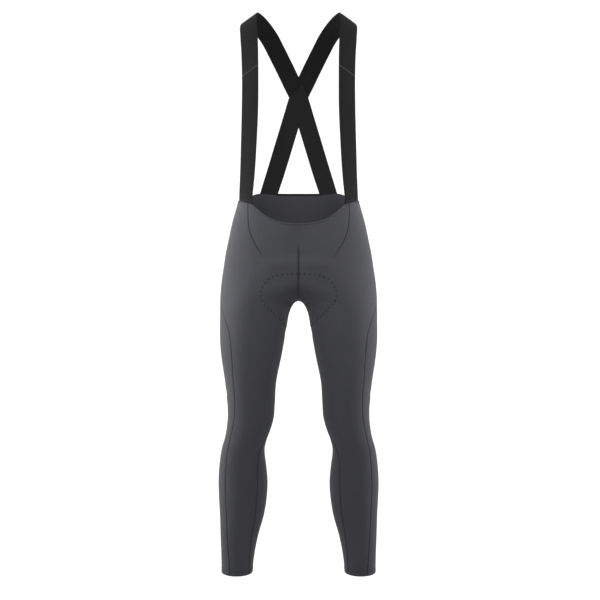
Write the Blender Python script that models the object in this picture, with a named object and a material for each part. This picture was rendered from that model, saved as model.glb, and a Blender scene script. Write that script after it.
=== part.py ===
"""Bib tights, filled out as if worn, with elastic braces that cross at the back.

The origin lies midway between the undersides of the two braces, on top of the shoulders.
+X is the wearer's left, the front faces -Y and +Z is up.

Each half of the tights is a stack of leg rings, one for each height. Above the crotch the two
rings run into each other and are joined on the middle plane, with a small fillet along the join.
A place on the tights is an angle round the ring (0 front, 90 outer side, 180 back, 270 or -90
inner side) and a distance down from the shoulders. Seams are curves in those two numbers.
"""

import math

import bmesh
import bpy
import numpy as np

MM = 0.001

# Cloth and seams, in millimetres
TIGHTS_WALL = 1.6
BRACE_WALL = 1.4
SEAM_GAP = 0.3
WAIST_GAP = 0.6
BRACE_WIDTH = 47.0
BINDING_HEIGHT = 4.5
BINDING_WALL = 2.4

# Heights down from the shoulders, in millimetres
CROTCH = 720.0
HEM = 1412.0
HEM_TILT = 4.5
SEAT = 640.0

# Fillet between the two halves on the middle plane, in millimetres
JOIN_RADIUS = 12.0

# Least width of a belly panel, in degrees
BELLY_POINT_WIDTH = 1.2

# Rings: down, outer side, inner side, front, back, and how square the ring is.
# An inner side below zero lies past the middle plane, inside the other half.
RINGS = np.array([
    (430, 149.0, -149, -98, 87, 0.030),
    (464, 154.0, -154, -101, 90, 0.030),
    (523, 170.0, -170, -106, 99, 0.030),
    (560, 178.0, -172, -108, 106, 0.028),
    (600, 186.5, -155, -108, 117, 0.024),
    (640, 193.0, -118, -107, 129, 0.018),
    (666, 197.0, -82, -106, 134, 0.012),
    (690, 199.5, -38, -104, 134, 0.006),
    (705, 200.5, -10, -102, 130, 0.000),
    (720, 200.8, 12, -100, 124, 0.000),
    (732, 200.9, 20, -99, 119, 0.000),
    (752, 201.0, 27, -98, 111, 0.000),
    (775, 201.0, 31, -97, 103, 0.000),
    (819, 200.5, 38, -95, 90, 0.000),
    (859, 197.0, 45, -92, 80, 0.000),
    (926, 187.0, 58, -84, 64, 0.000),
    (974, 181.5, 61, -76, 54, 0.000),
    (1015, 180.5, 64, -71, 48, 0.000),
    (1048, 184.0, 73, -69, 46, 0.000),
    (1066, 187.5, 80, -68, 47, 0.000),
    (1095, 196.0, 87, -63, 55, 0.000),
    (1142, 203.0, 83, -54, 70, 0.000),
    (1183, 205.5, 80, -48, 78, 0.000),
    (1219, 204.5, 82, -43, 76, 0.000),
    (1265, 202.0, 89, -36, 66, 0.000),
    (1323, 200.0, 105, -31, 56, 0.000),
    (1377, 198.0, 115, -28, 52, 0.000),
    (1423, 197.5, 119, -28, 52, 0.000),
])

# Top edge of the tights: angle in degrees, down
WAIST_LINE = np.array([
    (0, 529.5), (11, 526), (22, 515.5), (33, 497), (44, 479.5), (54, 472.5), (74, 466),
    (105, 462), (120, 454.5), (130, 446), (140, 440), (150, 441), (160, 443), (180, 443),
])

# Seam between the upper back panel and the legs: angle in degrees, down
YOKE_LINE = np.array([(90, 530), (115, 548), (145, 588), (180, 612)])

# Seam between belly and front of leg: down, angle in degrees
PRINCESS_SEAM = np.array([
    (440, 51), (480, 49.5), (513, 45), (542, 41), (571, 34.5), (592, 28), (611, 21.5),
    (640, 10), (670, -6.5), (694, -31), (709, -54), (720, -90),
])

# Seam between front and back of leg on the outer side: down, angle in degrees
OUTER_SEAM = np.array([
    (430, 108), (560, 108), (660, 98), (700, 86), (727, 74), (759, 57), (794, 43), (829, 38),
    (870, 37), (920, 38.5), (964, 39), (1002, 41.5), (1050, 45), (1106, 42), (1161, 42.5),
    (1212, 43), (1276, 40), (1324, 35), (1390, 26.5), (1425, 22),
])

# Seam between front and back of leg on the inner side: down, angle in degrees
INNER_SEAM = np.array([
    (720, -90), (1000, -89), (1040, -80), (1072, -66), (1094, -56), (1113, -47), (1147, -39.5),
    (1193, -37), (1242, -37), (1293, -39), (1342, -44), (1392, -49.5), (1425, -53),
])

# Centre line of a left brace, from the waist over the shoulder to the crossing at the back:
# x, y, down, the direction across it towards the neck (x, y, up), and how much it bulges.
BRACE_ROUTE = np.array([
    (133.5, -62, 482, -0.71, -0.70, 0.00, 2.5),
    (132, -66, 455, -0.73, -0.68, 0.00, 2.0),
    (128, -76, 405, -0.79, -0.61, 0.00, 1.5),
    (123.5, -89, 320, -0.85, -0.52, 0.00, 1.0),
    (120.5, -97, 240, -0.88, -0.47, 0.00, 1.0),
    (120, -98, 165, -0.88, -0.47, 0.03, 1.0),
    (121.5, -88, 100, -0.90, -0.42, 0.08, 1.0),
    (124.5, -66, 52, -0.92, -0.34, 0.18, 1.0),
    (127, -38, 18, -0.89, -0.27, 0.36, 1.0),
    (123.5, -8, 0, -0.80, -0.24, 0.56, 1.0),
    (110, 20, 3, -0.76, -0.16, 0.66, 1.0),
    (93.5, 44, 16, -0.80, -0.06, 0.60, 1.0),
    (75.5, 63, 38, -0.86, 0.00, 0.51, 0.8),
    (59.5, 78, 66, -0.89, 0.00, 0.45, 0.5),
    (42, 90, 99, -0.896, 0.00, 0.443, 0.0),
    (29, 94.6, 125, -0.896, 0.00, 0.443, 0.0),
    (17, 96, 150, -0.896, 0.00, 0.443, 0.0),
    (0, 96, 184, -0.896, 0.00, 0.443, 0.0),
    (-30, 96, 245, -0.896, 0.00, 0.443, 0.0),
])

# Centre line of a left back brace, from above the crossing down to the waist: the same columns,
# with the direction across it towards its inner edge. Its second row is the crossing.
BACK_ROUTE = np.array([
    (-22, 94.2, 111, -0.958, 0.00, -0.287, 0.0),
    (0, 94.2, 183, -0.958, 0.00, -0.287, 0.0),
    (20, 94.2, 250, -0.958, 0.00, -0.287, 0.0),
    (41, 92, 320, -0.954, 0.07, -0.287, 0.4),
    (59, 86.5, 380, -0.935, 0.20, -0.287, 1.0),
    (77, 79, 438, -0.905, 0.31, -0.287, 1.6),
    (83, 77, 460, -0.905, 0.31, -0.287, 1.6),
])

# Join between front and shoulder braces: down at its outer and its neck edge
CHEST_JOIN_OUTER = 163.0
CHEST_JOIN_INNER = 137.0

# Pointed end of the back brace that lies nearest the wearer: distance past the crossing at its
# outer edge, its middle and its inner edge
POINT_OUTER = -13.0
POINT_MIDDLE = 33.0
POINT_INNER = 2.5

# Grid sizes, in faces
WAIST_ROWS = 5
SEAT_ROWS = 4
CROTCH_ROWS = 7
LEG_ROWS = 21
FRONT_COLUMNS = 10
BACK_COLUMNS = 12
BELLY_COLUMNS = 7
BINDING_COLUMNS = 12
BRACE_COLUMNS = 4
BRACE_ROW_LENGTH = 16.0
LEG_ROW_GROWTH = 1.3

# How finely curves are read: points on a brace's route and on a waist edge, rounds of the two
# searches, and the step for a ring's slopes, in degrees and millimetres
ROUTE_SAMPLES = 600
WAIST_SAMPLES = 80
HALVINGS = 40
EDGE_ROUNDS = 20
RING_STEP = 0.25

# Ring angles, in degrees: where a brace may meet the top edge at the front and at the back, and
# where the binding starts beside a back brace
FRONT_WAIST_ANGLES = (20.0, 90.0)
BACK_WAIST_ANGLES = (100.0, 178.0)
BINDING_START = 161.5

# Colours, roughness, and the angle from which an edge is shaded sharp, in degrees
TIGHTS_GREY = (0.062, 0.062, 0.068, 1.0)
BRACE_BLACK = (0.014, 0.014, 0.014, 1.0)
CLOTH_ROUGHNESS = 0.85
SHARP_EDGE = 50.0


def smooth(knots, values, at):
    """Reads a cubic curve through the knots, its slope at each the mean of the spans beside it."""
    slopes = np.diff(values) / np.diff(knots)
    tangents = np.concatenate([slopes[:1], (slopes[1:] + slopes[:-1]) / 2, slopes[-1:]])
    span = np.clip(np.searchsorted(knots, at) - 1, 0, len(knots) - 2)
    length = knots[span + 1] - knots[span]
    part = np.clip((at - knots[span]) / length, 0.0, 1.0)
    rest = 1.0 - part
    start = values[span] * rest * rest * (1 + 2 * part)
    end = values[span + 1] * part * part * (3 - 2 * part)
    bend = part * rest * length * (tangents[span] * rest - tangents[span + 1] * part)
    return start + end + bend


def read(table, at):
    """Reads the second column of a table by its first."""
    return smooth(table[:, 0], table[:, 1], at)


def unit(vectors):
    """Scales vectors to length one."""
    return vectors / np.linalg.norm(vectors, axis=-1, keepdims=True)


def ring(angle, down):
    """Gives the place across and in depth on a leg's ring, before the halves are joined.

    The ring is an ellipse with a third harmonic that squares it, scaled to keep its width.
    """
    outer, inner, front, back, square = (smooth(RINGS[:, 0], RINGS[:, i], down) for i in range(1, 6))
    turn = np.radians(angle)
    wide = (np.sin(turn) + square * np.sin(3 * turn)) / (1 - square)
    deep = (np.cos(turn) - square * np.cos(3 * turn)) / (1 - square)
    across = (outer + inner) / 2 + wide * (outer - inner) / 2
    depth = (front + back) / 2 - deep * (back - front) / 2
    return across, depth


def body_point(angle, down):
    """Gives the place on the outer face of the left half; the fillet bends it to the middle plane."""
    across, depth = ring(angle, down)
    x = np.sqrt(np.maximum(across ** 2 - JOIN_RADIUS ** 2, 0.0))
    return np.stack([x, depth, -down], axis=-1)


def body_normal(angle, down):
    """Gives the outward direction there, from the ring's slopes round it and down it."""
    across, depth = ring(angle, down)
    x = np.sqrt(np.maximum(across ** 2 - JOIN_RADIUS ** 2, 0.0))
    ahead, behind = ring(angle + RING_STEP, down), ring(angle - RING_STEP, down)
    below, above = ring(angle, down + RING_STEP), ring(angle, down - RING_STEP)
    across_round = (ahead[0] - behind[0]) / math.radians(2 * RING_STEP)
    depth_round = (ahead[1] - behind[1]) / math.radians(2 * RING_STEP)
    across_down = (below[0] - above[0]) / (2 * RING_STEP)
    depth_down = (below[1] - above[1]) / (2 * RING_STEP)
    tilt = across * (across_round * depth_down - depth_round * across_down)
    return unit(np.stack([x * depth_round, -across * across_round, -tilt], axis=-1))


def middle_angle(down):
    """Finds by halving the front angle at which the ring meets the middle plane."""
    low = np.full(np.shape(down), -90.0)
    high = np.full(np.shape(down), 30.0)
    for _ in range(HALVINGS):
        guess = (low + high) / 2
        past = ring(guess, down)[0] > JOIN_RADIUS
        high = np.where(past, guess, high)
        low = np.where(past, low, guess)
    return np.where(down >= CROTCH, -90.0, high)


def princess_angle(down):
    """Belly seam, which runs to a point on the middle plane at the crotch."""
    return np.maximum(read(PRINCESS_SEAM, down), middle_angle(down) + BELLY_POINT_WIDTH)


def front_inner_angle(down):
    """Inner edge of the front of the leg: belly seam above the crotch, inner leg seam below."""
    return np.where(down < CROTCH, princess_angle(down), read(INNER_SEAM, down))


def back_inner_angle(down):
    """Inner edge of the back of the leg: centre back above the crotch, inner leg seam below."""
    return np.where(down < CROTCH, 180.0 - middle_angle(down), 360.0 + read(INNER_SEAM, down))


def outer_angle(down):
    """Outer leg seam."""
    return read(OUTER_SEAM, down)


def edge_down(line, start, end, share):
    """Finds how far down an edge lies at each share of the way across a panel."""
    down = np.full(np.shape(share), line[:, 1].mean())
    for _ in range(EDGE_ROUNDS):
        angle = start(down) + (end(down) - start(down)) * share
        down = read(line, angle)
    return down


def yoke_side():
    """Height at which the yoke seam meets the outer leg seam."""
    return edge_down(YOKE_LINE, outer_angle, back_inner_angle, np.zeros(1))[0]


def rows_to_crotch(line, start, end, columns, stop=None):
    """Heights of a panel's rows, from its top edge to the seat and on to the crotch.

    A front panel also stops at the height of the yoke seam's side. From there down the rows are
    the same on every panel, and they close up where the cloth turns under.
    """
    share = np.linspace(0.0, 1.0, columns + 1)
    top = edge_down(line, start, end, share)
    rows = []
    if stop is not None:
        rows.append(top + (stop - top) * np.linspace(0.0, 1.0, WAIST_ROWS + 1)[:-1, None])
        top = np.full(np.shape(share), stop)
    rows.append(top + (SEAT - top) * np.linspace(0.0, 1.0, SEAT_ROWS + 1)[:, None])
    level = CROTCH - (CROTCH - SEAT) * np.linspace(1.0, 0.0, CROTCH_ROWS + 1)[1:, None] ** 2
    rows.append(np.repeat(level, columns + 1, axis=1))
    return np.concatenate(rows)


def rows_to_hem(start, end, columns):
    """Heights of a leg's rows below the crotch, closing up towards it, down to the tilted hem."""
    share = np.linspace(0.0, 1.0, columns + 1)
    part = np.linspace(0.0, 1.0, LEG_ROWS + 1)[1:, None] ** LEG_ROW_GROWTH
    level = CROTCH + (HEM - CROTCH) * part
    angle = start(level) * (1 - share) + end(level) * share
    return level + HEM_TILT * np.cos(np.radians(angle)) * part ** 4


def panel(start, end, down, columns):
    """Spreads a panel between two seams: rows of points and their outward directions."""
    share = np.linspace(0.0, 1.0, columns + 1)[None, :]
    angle = start(down) * (1 - share) + end(down) * share
    return body_point(angle, down), body_normal(angle, down)


def inset(points, normals, side):
    """Draws one side of a grid back by half the seam gap, square to that side."""
    lines = {"top": (0, 1, 0), "bottom": (-1, -2, 0), "start": (0, 1, 1), "end": (-1, -2, 1)}
    edge, beside, axis = lines[side]
    rim, inner = np.take(points, edge, axis), np.take(points, beside, axis)
    inward = unit(np.cross(np.take(normals, edge, axis), np.gradient(rim, axis=0)))
    inward *= np.sign(np.sum(inward * (inner - rim), axis=-1, keepdims=True))
    moved = rim + inward * SEAM_GAP / 2
    if axis == 0:
        points[edge] = moved
    else:
        points[:, edge] = moved


def inset_all(points, normals, sides):
    """Draws back the named sides of a grid."""
    for side in sides:
        inset(points, normals, side)


def make_material(name, colour):
    """Matte cloth of one colour."""
    material = bpy.data.materials.new(name)
    material.use_nodes = True
    shader = material.node_tree.nodes["Principled BSDF"]
    shader.inputs["Base Color"].default_value = colour
    shader.inputs["Roughness"].default_value = CLOTH_ROUGHNESS
    shader.inputs["Metallic"].default_value = 0.0
    material.diffuse_color = colour
    return material


def wall_object(name, outer, inner, colour):
    """Makes a closed wall from two grids of points, with a rim between their borders."""
    rows, columns = outer.shape[:2]
    number = np.arange(rows * columns).reshape(rows, columns)
    faces = []
    for offset in (0, rows * columns):
        near = number + offset
        quads = np.stack([near[:-1, :-1], near[1:, :-1], near[1:, 1:], near[:-1, 1:]], axis=-1)
        faces.extend(quads.reshape(-1, 4).tolist())
    border = np.concatenate([number[0, :-1], number[:-1, -1], number[-1, :0:-1], number[:0:-1, 0]])
    following = np.roll(border, -1)
    far = rows * columns
    faces.extend(np.stack([border, following, following + far, border + far], axis=-1).tolist())
    points = np.concatenate([outer.reshape(-1, 3), inner.reshape(-1, 3)]) * MM
    mesh = bpy.data.meshes.new(name)
    mesh.from_pydata(points.tolist(), [], faces)
    work = bmesh.new()
    work.from_mesh(mesh)
    bmesh.ops.recalc_face_normals(work, faces=work.faces)
    if work.calc_volume(signed=True) < 0:
        bmesh.ops.reverse_faces(work, faces=work.faces)
    work.to_mesh(mesh)
    work.free()
    mesh.shade_smooth()
    mesh.set_sharp_from_angle(angle=math.radians(SHARP_EDGE))
    mesh.materials.append(make_material(name + "_cloth", colour))
    piece = bpy.data.objects.new(name, mesh)
    bpy.context.scene.collection.objects.link(piece)
    return piece


def make_pair(name, outer, inner, colour):
    """Makes a left piece and its mirror image."""
    mirror = np.array([-1.0, 1.0, 1.0])
    wall_object(name + "_left", outer, inner, colour)
    wall_object(name + "_right", outer * mirror, inner * mirror, colour)


def make_belly():
    """Front centre panels, from the scoop to a point just above the crotch."""
    edges = (middle_angle, princess_angle)
    down = rows_to_crotch(WAIST_LINE, *edges, BELLY_COLUMNS, yoke_side())[:-1]
    points, normals = panel(*edges, down, BELLY_COLUMNS)
    inset_all(points, normals, ("start", "end"))
    make_pair("front_centre", points, points - normals * TIGHTS_WALL, TIGHTS_GREY)


def make_front_legs():
    """Front of hip and leg."""
    edges = (front_inner_angle, outer_angle)
    above = rows_to_crotch(WAIST_LINE, *edges, FRONT_COLUMNS, yoke_side())
    down = np.concatenate([above, rows_to_hem(*edges, FRONT_COLUMNS)])
    points, normals = panel(*edges, down, FRONT_COLUMNS)
    inset_all(points, normals, ("start", "end"))
    make_pair("front_leg", points, points - normals * TIGHTS_WALL, TIGHTS_GREY)


def make_back_legs():
    """Seat and back of leg, which wraps to the outer and inner front below the knee."""
    edges = (outer_angle, back_inner_angle)
    above = rows_to_crotch(YOKE_LINE, *edges, BACK_COLUMNS)
    down = np.concatenate([above, rows_to_hem(*edges, BACK_COLUMNS)])
    points, normals = panel(*edges, down, BACK_COLUMNS)
    inset_all(points, normals, ("top", "start", "end"))
    make_pair("back_leg", points, points - normals * TIGHTS_WALL, TIGHTS_GREY)


def both_halves(points, normals):
    """Carries a left grid, which ends on the middle plane, across to the right."""
    mirror = np.array([-1.0, 1.0, 1.0])
    whole = np.concatenate([points, points[:, -2::-1] * mirror], axis=1)
    directions = np.concatenate([normals, normals[:, -2::-1] * mirror], axis=1)
    return whole, directions


def back_middle_angle(down):
    """Centre back."""
    return 180.0 - middle_angle(down)


def make_yoke():
    """Upper back panel, from outer seam to outer seam."""
    half = BACK_COLUMNS
    share = np.linspace(0.0, 1.0, half + 1)
    top = edge_down(WAIST_LINE, outer_angle, back_middle_angle, share)
    bottom = edge_down(YOKE_LINE, outer_angle, back_middle_angle, share)
    down = top + (bottom - top) * np.linspace(0.0, 1.0, WAIST_ROWS + 1)[:, None]
    points, normals = both_halves(*panel(outer_angle, back_middle_angle, down, half))
    inset_all(points, normals, ("bottom", "start", "end"))
    wall_object("back_yoke", points, points - normals * TIGHTS_WALL, TIGHTS_GREY)


def brace_waist_angle(down):
    """Inner edge of the back brace at the waist."""
    return np.full(np.shape(down), BINDING_START)


def make_binding():
    """Narrow elastic on the top edge of the back, between the two back braces."""
    half = BINDING_COLUMNS // 2
    share = np.linspace(0.0, 1.0, half + 1)
    bottom = edge_down(WAIST_LINE, brace_waist_angle, back_middle_angle, share) - SEAM_GAP
    down = np.stack([bottom - BINDING_HEIGHT, bottom])
    points, normals = both_halves(*panel(brace_waist_angle, back_middle_angle, down, half))
    proud = (BINDING_WALL - TIGHTS_WALL) / 2
    outer = points + normals * proud
    wall_object("back_binding", outer, outer - normals * BINDING_WALL, BRACE_BLACK)


def route_frame(route):
    """Reads a brace's route at points evenly spaced along it.

    Gives the length so far, the place, the direction along, the direction across (made square to
    it), the outward direction (square to both) and the bulge.
    """
    chords = np.linalg.norm(np.diff(route[:, :3], axis=0), axis=1)
    knots = np.concatenate([[0.0], np.cumsum(chords)])
    at = np.linspace(0.0, knots[-1], ROUTE_SAMPLES)
    columns = np.stack([smooth(knots, route[:, i], at) for i in range(route.shape[1])], axis=1)
    place = columns[:, :3] * np.array([1.0, 1.0, -1.0])
    steps = np.linalg.norm(np.diff(place, axis=0), axis=1)
    length = np.concatenate([[0.0], np.cumsum(steps)])
    along = unit(np.gradient(place, length, axis=0))
    outward = unit(np.cross(along, columns[:, 3:6]))
    return length, place, np.cross(outward, along), outward, columns[:, 6]


def spread(at, length, values):
    """Reads vectors along a route at given lengths."""
    return np.stack([np.interp(at, length, values[:, i]) for i in range(3)], axis=-1)


def brace_shares():
    """Shares of half the width at which a brace's lengthwise lines lie."""
    return np.linspace(-1.0, 1.0, BRACE_COLUMNS + 1)


def make_ribbon(route, starts, ends):
    """Carries a flat strip along a route, each lengthwise line from its own start to its own end."""
    length, place, across, outward, bulge = route_frame(route)
    share = brace_shares()
    rows = round(float(np.max(ends - starts)) / BRACE_ROW_LENGTH)
    at = starts + (ends - starts) * np.linspace(0.0, 1.0, rows + 1)[:, None]
    normals = unit(spread(at, length, outward))
    crown = np.interp(at, length, bulge) * (1 - share ** 2)
    sideways = spread(at, length, across) * (share * BRACE_WIDTH / 2)[:, None]
    outer = spread(at, length, place) + sideways + normals * crown[..., None]
    return outer, outer - normals * BRACE_WALL


def length_where(route, test):
    """Length along a route at which each lengthwise line first passes a test of its place."""
    length, place, across, _, _ = route_frame(route)
    share = brace_shares()
    lines = place[:, None, :] + across[:, None, :] * (share * BRACE_WIDTH / 2)[:, None]
    value = test(lines, share)
    first = np.argmax(value > 0, axis=0)
    columns = np.arange(len(share))
    before, after = value[first - 1, columns], value[first, columns]
    return length[first - 1] + (length[first] - length[first - 1]) * before / (before - after)


def waist_height(x, limits):
    """Height of the tights' top edge over a place across, between two ring angles."""
    angles = np.linspace(*limits, WAIST_SAMPLES)
    down = read(WAIST_LINE, angles)
    points = body_point(angles, down)
    order = np.argsort(points[:, 0])
    return np.interp(x, points[order, 0], points[order, 2])


def above_front_waist(lines, share):
    """How far places lie above the front top edge, clear of its gap."""
    return lines[..., 2] - waist_height(lines[..., 0], FRONT_WAIST_ANGLES) - WAIST_GAP


def below_back_waist(lines, share):
    """How far places lie below the back top edge, clear of its gap."""
    return waist_height(lines[..., 0], BACK_WAIST_ANGLES) + WAIST_GAP - lines[..., 2]


def above_chest_join(lines, share):
    """How far places lie above the slanting join at the chest."""
    middle = (CHEST_JOIN_OUTER + CHEST_JOIN_INNER) / 2
    return lines[..., 2] + middle + share * (CHEST_JOIN_OUTER - CHEST_JOIN_INNER) / -2


def past_middle(lines, share):
    """How far places lie past the middle plane, less half the seam gap."""
    return SEAM_GAP / 2 - lines[..., 0]


def past_other_brace(lines, share):
    """How far places on a left back brace lie past the inner edge of the right one."""
    crossing = BACK_ROUTE[1]
    over = -crossing[3] * lines[..., 0] + crossing[5] * (lines[..., 2] + crossing[2])
    return over - BRACE_WIDTH / 2 - SEAM_GAP


def make_front_braces():
    """Braces from the front waist to the chest join."""
    starts = length_where(BRACE_ROUTE, above_front_waist)
    ends = length_where(BRACE_ROUTE, above_chest_join) - SEAM_GAP
    make_pair("front_brace", *make_ribbon(BRACE_ROUTE, starts, ends), BRACE_BLACK)


def make_shoulder_braces():
    """Braces from the chest join over the shoulders, to meet at the crossing."""
    starts = length_where(BRACE_ROUTE, above_chest_join)
    ends = length_where(BRACE_ROUTE, past_middle)
    make_pair("shoulder_brace", *make_ribbon(BRACE_ROUTE, starts, ends), BRACE_BLACK)


def make_back_braces():
    """Braces from the crossing to the back waist. The right one has the pointed end."""
    ends = length_where(BACK_ROUTE, below_back_waist)
    starts = length_where(BACK_ROUTE, past_other_brace)
    outer, inner = make_ribbon(BACK_ROUTE, starts, ends)
    wall_object("back_brace_left", outer, inner, BRACE_BLACK)
    crossing = np.linalg.norm(BACK_ROUTE[1, :3] - BACK_ROUTE[0, :3])
    past = np.interp(brace_shares(), (-1, 0, 1), (POINT_OUTER, POINT_MIDDLE, POINT_INNER))
    outer, inner = make_ribbon(BACK_ROUTE, crossing - past, ends)
    mirror = np.array([-1.0, 1.0, 1.0])
    wall_object("back_brace_right", outer * mirror, inner * mirror, BRACE_BLACK)


def build():
    """Clears the scene and makes every piece."""
    for item in list(bpy.data.objects):
        bpy.data.objects.remove(item, do_unlink=True)
    make_belly()
    make_front_legs()
    make_back_legs()
    make_yoke()
    make_binding()
    make_front_braces()
    make_shoulder_braces()
    make_back_braces()


build()
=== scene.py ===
"""Bib tights, dressed: knit panels, elastic braces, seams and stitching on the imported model.

Lengths in the tables are millimetres, and everything that reaches Blender is in metres.
A place on the left half of the tights is an angle round its ring (0 front, 90 outer side,
180 back, -90 or 270 inner side) and a distance down from the shoulders. Right pieces mirror it.
"""

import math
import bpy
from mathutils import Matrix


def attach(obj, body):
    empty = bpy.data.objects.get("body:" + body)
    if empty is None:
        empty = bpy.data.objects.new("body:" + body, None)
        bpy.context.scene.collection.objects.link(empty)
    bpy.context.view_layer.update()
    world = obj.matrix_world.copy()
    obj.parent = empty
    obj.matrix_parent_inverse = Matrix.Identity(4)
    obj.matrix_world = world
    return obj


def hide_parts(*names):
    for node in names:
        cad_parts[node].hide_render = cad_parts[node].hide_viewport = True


bl_info = {
    "name": "Bib Tights",
    "version": (1, 0, 0),
    "blender": (4, 5, 0),
    "location": "View3D > Sidebar > Bib Tights",
    "description": "Makes worn-looking bib tights with crossed braces on their packed model",
    "category": "Add Mesh",
}

import bpy
import numpy as np
from bpy.props import FloatProperty, FloatVectorProperty, PointerProperty
from bpy.types import Operator, Panel, PropertyGroup

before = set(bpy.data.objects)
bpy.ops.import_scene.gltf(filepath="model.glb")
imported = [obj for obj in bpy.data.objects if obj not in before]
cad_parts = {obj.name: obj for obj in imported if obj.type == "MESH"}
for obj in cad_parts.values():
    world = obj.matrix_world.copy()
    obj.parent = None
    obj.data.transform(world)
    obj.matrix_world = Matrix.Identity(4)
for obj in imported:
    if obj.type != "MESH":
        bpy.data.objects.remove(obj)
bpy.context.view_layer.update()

MM = 0.001
MIRROR = np.array([-1.0, 1.0, 1.0])
SIDES = (("left", 1.0), ("right", MIRROR))

# Sizes that the part's solids have too, in millimetres and degrees
CROTCH = 720.0
HEM = 1412.0
HEM_TILT = 4.5
SEAT = 640.0
JOIN_RADIUS = 12.0
BELLY_POINT_WIDTH = 1.2
WAIST_GAP = 0.6
BRACE_WIDTH = 47.0
BINDING_HEIGHT = 4.5
BINDING_WALL = 2.4
CHEST_JOIN_OUTER = 163.0
CHEST_JOIN_INNER = 137.0
FRONT_WAIST_ANGLES = (20.0, 90.0)
BACK_WAIST_ANGLES = (100.0, 178.0)

# How far the right back brace reaches past the crossing: at its outer edge, in its middle and at
# its inner edge
POINT_REACH = (-13.0, 33.0, 2.5)

# Sewn pieces lie closer here than the solids do, and laps close what still shows between them
PANEL_GAP = 0.04
BINDING_LAP = 1.4
BINDING_START = 159.3
BRACE_LAP = 1.4

# Rings: down, outer side, inner side, front, back, and how square the ring is
RINGS = np.array([
    (430, 149.0, -149, -98, 87, 0.030),
    (464, 154.0, -154, -101, 90, 0.030),
    (523, 170.0, -170, -106, 99, 0.030),
    (560, 178.0, -172, -108, 106, 0.028),
    (600, 186.5, -155, -108, 117, 0.024),
    (640, 193.0, -118, -107, 129, 0.018),
    (666, 197.0, -82, -106, 134, 0.012),
    (690, 199.5, -38, -104, 134, 0.006),
    (705, 200.5, -10, -102, 130, 0.000),
    (720, 200.8, 12, -100, 124, 0.000),
    (732, 200.9, 20, -99, 119, 0.000),
    (752, 201.0, 27, -98, 111, 0.000),
    (775, 201.0, 31, -97, 103, 0.000),
    (819, 200.5, 38, -95, 90, 0.000),
    (859, 197.0, 45, -92, 80, 0.000),
    (926, 187.0, 58, -84, 64, 0.000),
    (974, 181.5, 61, -76, 54, 0.000),
    (1015, 180.5, 64, -71, 48, 0.000),
    (1048, 184.0, 73, -69, 46, 0.000),
    (1066, 187.5, 80, -68, 47, 0.000),
    (1095, 196.0, 87, -63, 55, 0.000),
    (1142, 203.0, 83, -54, 70, 0.000),
    (1183, 205.5, 80, -48, 78, 0.000),
    (1219, 204.5, 82, -43, 76, 0.000),
    (1265, 202.0, 89, -36, 66, 0.000),
    (1323, 200.0, 105, -31, 56, 0.000),
    (1377, 198.0, 115, -28, 52, 0.000),
    (1423, 197.5, 119, -28, 52, 0.000),
])

# Top edge, and the seam below the upper back panel: angle, down
WAIST_LINE = np.array([
    (0, 529.5), (11, 526), (22, 515.5), (33, 497), (44, 479.5), (54, 472.5), (74, 466),
    (105, 462), (120, 454.5), (130, 446), (140, 440), (150, 441), (160, 443), (180, 443),
])
YOKE_LINE = np.array([(90, 530), (115, 548), (145, 588), (180, 612)])

# Seams that run down: down, angle
PRINCESS_SEAM = np.array([
    (440, 51), (480, 49.5), (513, 45), (542, 41), (571, 34.5), (592, 28), (611, 21.5),
    (640, 10), (670, -6.5), (694, -31), (709, -54), (720, -90),
])
OUTER_SEAM = np.array([
    (430, 108), (560, 108), (660, 98), (700, 86), (727, 74), (759, 57), (794, 43), (829, 38),
    (870, 37), (920, 38.5), (964, 39), (1002, 41.5), (1050, 45), (1106, 42), (1161, 42.5),
    (1212, 43), (1276, 40), (1324, 35), (1390, 26.5), (1425, 22),
])
INNER_SEAM = np.array([
    (720, -90), (1000, -89), (1040, -80), (1072, -66), (1094, -56), (1113, -47), (1147, -39.5),
    (1193, -37), (1242, -37), (1293, -39), (1342, -44), (1392, -49.5), (1425, -53),
])

# Centre lines of a left brace, and of a left back brace from above the crossing down:
# x, y, down, the direction across (x, y, up), and how much it bulges
BRACE_ROUTE = np.array([
    (133.5, -62, 482, -0.71, -0.70, 0.00, 2.5),
    (132, -66, 455, -0.73, -0.68, 0.00, 2.0),
    (128, -76, 405, -0.79, -0.61, 0.00, 1.5),
    (123.5, -89, 320, -0.85, -0.52, 0.00, 1.0),
    (120.5, -97, 240, -0.88, -0.47, 0.00, 1.0),
    (120, -98, 165, -0.88, -0.47, 0.03, 1.0),
    (121.5, -88, 100, -0.90, -0.42, 0.08, 1.0),
    (124.5, -66, 52, -0.92, -0.34, 0.18, 1.0),
    (127, -38, 18, -0.89, -0.27, 0.36, 1.0),
    (123.5, -8, 0, -0.80, -0.24, 0.56, 1.0),
    (110, 20, 3, -0.76, -0.16, 0.66, 1.0),
    (93.5, 44, 16, -0.80, -0.06, 0.60, 1.0),
    (75.5, 63, 38, -0.86, 0.00, 0.51, 0.8),
    (59.5, 78, 66, -0.89, 0.00, 0.45, 0.5),
    (42, 90, 99, -0.896, 0.00, 0.443, 0.0),
    (29, 94.6, 125, -0.896, 0.00, 0.443, 0.0),
    (17, 96, 150, -0.896, 0.00, 0.443, 0.0),
    (0, 96, 184, -0.896, 0.00, 0.443, 0.0),
    (-30, 96, 245, -0.896, 0.00, 0.443, 0.0),
])
BACK_ROUTE = np.array([
    (-22, 94.2, 111, -0.958, 0.00, -0.287, 0.0),
    (0, 94.2, 183, -0.958, 0.00, -0.287, 0.0),
    (20, 94.2, 250, -0.958, 0.00, -0.287, 0.0),
    (41, 92, 320, -0.954, 0.07, -0.287, 0.4),
    (59, 86.5, 380, -0.935, 0.20, -0.287, 1.0),
    (77, 79, 438, -0.905, 0.31, -0.287, 1.6),
    (83, 77, 460, -0.905, 0.31, -0.287, 1.6),
])

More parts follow.
